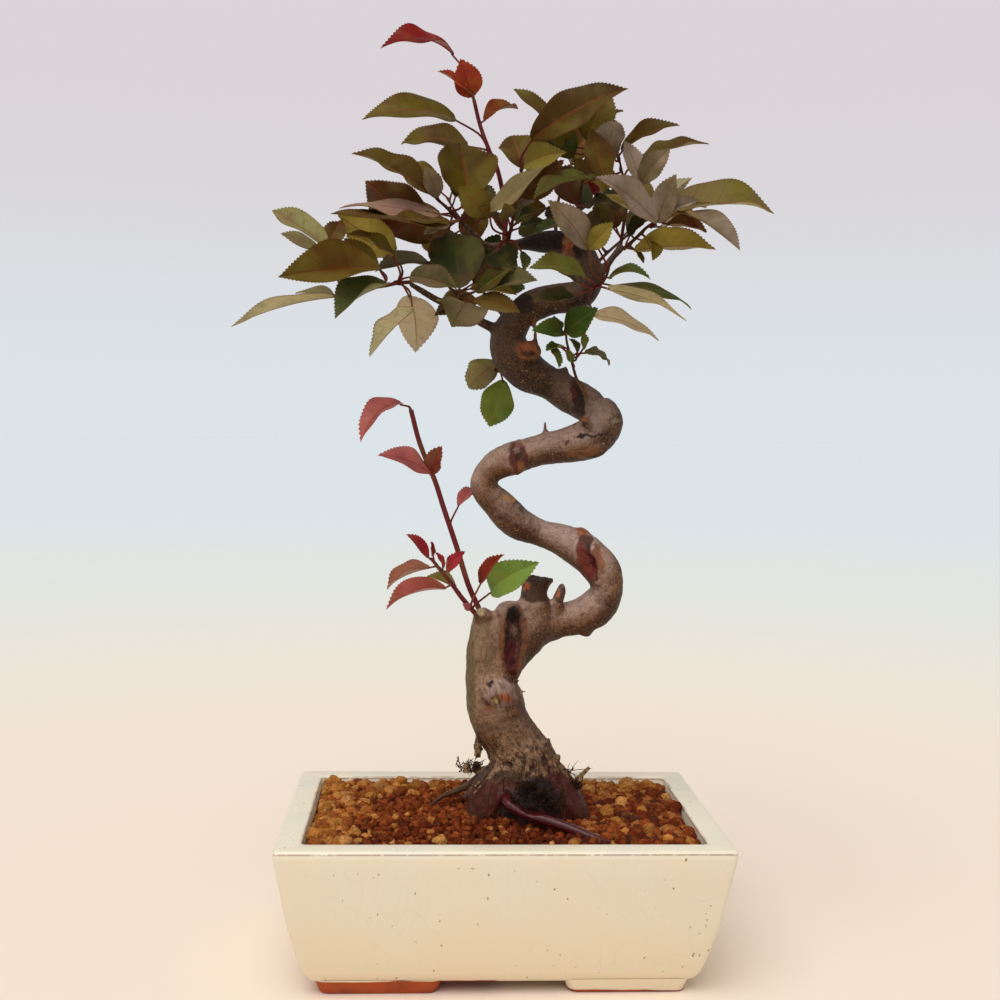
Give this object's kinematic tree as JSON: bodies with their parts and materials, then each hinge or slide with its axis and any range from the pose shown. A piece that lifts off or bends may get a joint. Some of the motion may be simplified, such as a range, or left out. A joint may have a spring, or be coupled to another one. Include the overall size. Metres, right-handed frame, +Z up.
{
  "type": "potted apple bonsai",
  "caption": "Apple tree trained as a bonsai: coiled trunk with healed scars, loose bronze and olive crown, clay-grain soil, rectangular cream glazed pot on low feet.",
  "frame": {"origin": "on the ground, below the middle of the pot and of the crown's width", "axes": "+X along the pot's length to the right as seen from the front, +Y from the front to the back, +Z up the trunk"},
  "size_m": [0.2198, 0.122, 0.3929],
  "materials": {
    "glaze": "gloss",
    "screen": "matte",
    "grains": "matte",
    "bark": "matte",
    "leaf": "satin",
    "young_leaf": "satin"
  },
  "bodies": {
    "root": {"pot": "glaze", "drain_screen_left": "screen", "drain_screen_right": "screen", "soil": "grains", "trunk": "bark", "shoot_top_red": "young_leaf", "spray_upper_left": "leaf", "spray_left": "leaf", "spray_left_inner": "leaf", "spray_centre": "leaf", "spray_apex": "leaf", "spray_right_top": "leaf", "spray_right": "leaf", "spray_limb": "leaf", "shoot_crotch": "leaf", "leaves_behind_trunk": "leaf", "shoot_lower_left": "young_leaf", "shoot_rosette": "young_leaf", "spray_back_left": "leaf", "spray_back_right": "leaf", "spray_back_top": "leaf", "spray_back_upper_left": "leaf"}
  },
  "joints": []
}
